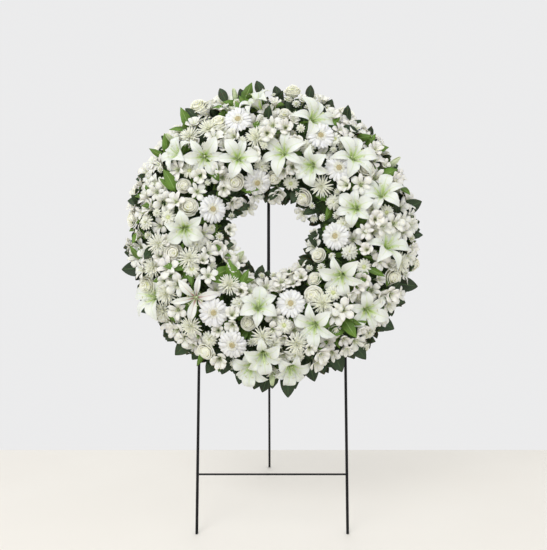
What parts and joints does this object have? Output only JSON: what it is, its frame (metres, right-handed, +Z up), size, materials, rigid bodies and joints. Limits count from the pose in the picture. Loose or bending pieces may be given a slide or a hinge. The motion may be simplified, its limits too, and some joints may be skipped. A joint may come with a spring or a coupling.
{
  "type": "funeral wreath on easel",
  "caption": "Round wreath of white flowers and leaves on a foam ring, held by a black steel easel with two front feet and a hinged rear leg.",
  "frame": {"origin": "on the floor, under the middle of the part's box", "axes": "+Z up, -Y the way the flowers face, +X to the right seen from the front"},
  "size_m": [0.9471, 0.6927, 1.439],
  "materials": {
    "black_steel": "satin",
    "zinc": "satin",
    "tray_plastic": "matte",
    "floral_foam": "matte",
    "leaves": "satin",
    "gerbera_petals": "matte",
    "lily_petals": "satin",
    "rose_petals": "matte"
  },
  "bodies": {
    "stand_and_wreath": {"front_legs": "black_steel", "lower_crossbar": "black_steel", "centre_post": "black_steel", "wreath_hook": "black_steel", "ring_peg_left": "black_steel", "ring_peg_right": "black_steel", "hinge_bracket": "black_steel", "hinge_bolt": "zinc", "hinge_nut": "zinc", "ring_tray": "tray_plastic", "foam_ring": "floral_foam", "greenery_1": "leaves", "greenery_2": "leaves", "greenery_3": "leaves", "greenery_4": "leaves", "greenery_5": "leaves", "greenery_6": "leaves", "gerbera_1": "gerbera_petals", "gerbera_2": "gerbera_petals", "gerbera_3": "gerbera_petals", "gerbera_4": "gerbera_petals", "gerbera_5": "gerbera_petals", "gerbera_6": "gerbera_petals", "gerbera_7": "gerbera_petals", "gerbera_8": "gerbera_petals", "gerbera_9": "gerbera_petals", "lily_1": "lily_petals", "lily_2": "lily_petals", "lily_3": "lily_petals", "lily_4": "lily_petals", "lily_5": "lily_petals", "lily_6": "lily_petals", "lily_7": "lily_petals", "lily_8": "lily_petals", "lily_9": "lily_petals", "lily_10": "lily_petals", "lily_11": "lily_petals", "lily_12": "lily_petals", "lily_13": "lily_petals", "lily_14": "lily_petals", "lily_15": "lily_petals", "lily_16": "lily_petals", "lily_17": "lily_petals", "lily_18": "lily_petals", "rose_1": "rose_petals", "rose_2": "rose_petals", "rose_3": "rose_petals", "rose_4": "rose_petals", "rose_5": "rose_petals", "rose_6": "rose_petals", "rose_7": "rose_petals", "rose_8": "rose_petals", "rose_9": "rose_petals", "rose_10": "rose_petals", "rose_11": "rose_petals", "rose_12": "rose_petals", "rose_13": "rose_petals", "rose_14": "rose_petals"},
    "rear_leg": {"rear_leg": "black_steel"}
  },
  "joints": [
    {"name": "rear_leg_fold", "type": "hinge", "parent": "stand_and_wreath", "child": "rear_leg", "pos_m": [-0.012, -0.09264, 1.18623], "axis": [-1, 0, 0], "range_deg": [0, 26]}
  ]
}
